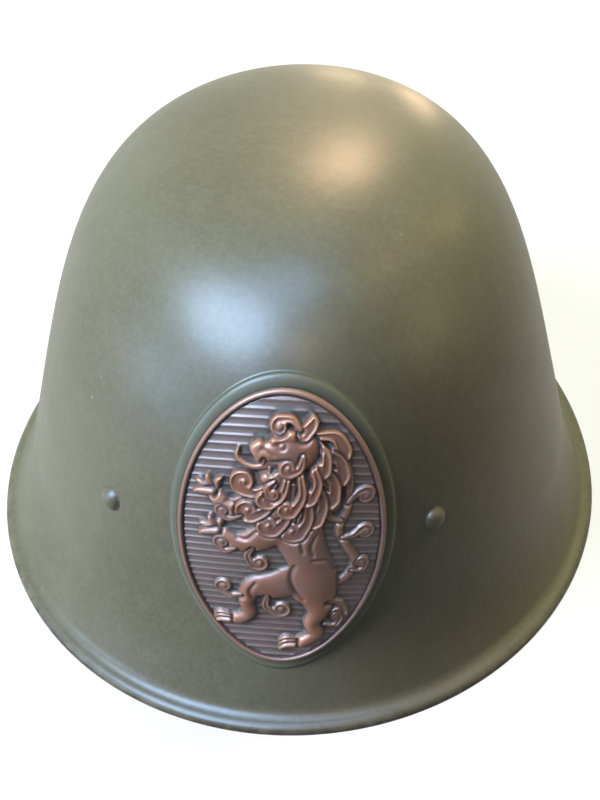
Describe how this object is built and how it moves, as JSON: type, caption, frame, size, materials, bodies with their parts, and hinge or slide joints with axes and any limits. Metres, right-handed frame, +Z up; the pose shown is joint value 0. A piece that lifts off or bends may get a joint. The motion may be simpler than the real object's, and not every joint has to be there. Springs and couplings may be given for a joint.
{
  "type": "steel helmet",
  "caption": "Pressed steel helmet with an oval bronze front badge, a riveted leather liner and a buckled chin strap; it shields the wearer's head.",
  "frame": {"origin": "middle of the bounding box, at the bottom of the rim", "axes": "+Z up through the crown, -Y towards the front with the badge, -X towards the wearer's right"},
  "size_m": [0.245, 0.283, 0.156],
  "materials": {
    "shell_paint": "worn satin olive paint",
    "badge_bronze": "dark patina, bright on the high places",
    "liner_steel": "dull grey",
    "rivet_brass": "dull",
    "felt": "matte wool felt",
    "liner_leather": "matte, worn",
    "strap_leather": "satin, worn",
    "buckle_metal": "dull"
  },
  "bodies": {
    "helmet": {"shell": "shell_paint", "badge_seat": "shell_paint", "front_badge": "badge_bronze", "badge_washers": "liner_steel", "liner_rivet_right": "shell_paint", "liner_rivet_left": "shell_paint", "liner_rivet_rear": "shell_paint", "spacer_washers": "liner_steel", "burr_washers": "liner_steel", "liner_tab_right": "liner_steel", "liner_tab_left": "liner_steel", "liner_tab_rear": "liner_steel", "liner_hoop": "liner_steel", "tab_rivets": "rivet_brass", "felt_band": "felt", "tongue_leather": "liner_leather", "sweatband": "liner_leather", "sweatband_rivets": "rivet_brass", "strap_hanger_right": "liner_steel", "strap_hanger_left": "liner_steel", "hanger_rivets": "rivet_brass"},
    "loop_right": {"strap_loop_right": "buckle_metal"},
    "loop_left": {"strap_loop_left": "buckle_metal"},
    "strap_long": {"strap_long": "strap_leather", "strap_rivet_long": "rivet_brass"},
    "strap_short": {"strap_short": "strap_leather", "strap_rivet_short": "rivet_brass", "buckle_rivet": "rivet_brass"},
    "buckle_frame": {"buckle_frame": "buckle_metal"},
    "buckle_prong": {"buckle_prong": "buckle_metal"},
    "buckle_roller": {"buckle_roller": "buckle_metal"},
    "strap_keeper": {"strap_keeper": "buckle_metal"}
  },
  "joints": [
    {"name": "loop_right_swing", "type": "hinge", "parent": "helmet", "child": "loop_right", "pos_m": [-0.08852, -0.00529, 0.036], "axis": [0, -1, 0], "range_deg": [-20, 30]},
    {"name": "loop_left_swing", "type": "hinge", "parent": "helmet", "child": "loop_left", "pos_m": [0.08852, -0.00529, 0.036], "axis": [0, 1, 0], "range_deg": [-20, 30]},
    {"name": "strap_long_swing", "type": "hinge", "parent": "loop_right", "child": "strap_long", "pos_m": [-0.08852, -0.00529, 0.023], "axis": [0, -1, 0], "range_deg": [-66, 15]},
    {"name": "strap_short_swing", "type": "hinge", "parent": "loop_left", "child": "strap_short", "pos_m": [0.08852, -0.00529, 0.023], "axis": [0, 1, 0], "range_deg": [-66, 40]},
    {"name": "buckle_tilt", "type": "hinge", "parent": "strap_short", "child": "buckle_frame", "pos_m": [0.02852, -0.00529, 0.0038], "axis": [0, 1, 0], "range_deg": [-15, 60]},
    {"name": "prong_swing", "type": "hinge", "parent": "buckle_frame", "child": "buckle_prong", "pos_m": [0.02852, -0.00529, 0.0038], "axis": [0, 1, 0], "range_deg": [0, 90]},
    {"name": "roller_spin", "type": "hinge", "parent": "buckle_frame", "child": "buckle_roller", "pos_m": [0.01163, -0.00529, 0.00192], "axis": [0, 1, 0], "continuous": true},
    {"name": "keeper_slide", "type": "slide", "parent": "strap_short", "child": "strap_keeper", "axis": [1, 0, 0], "range_m": [-0.006, 0.005]}
  ]
}
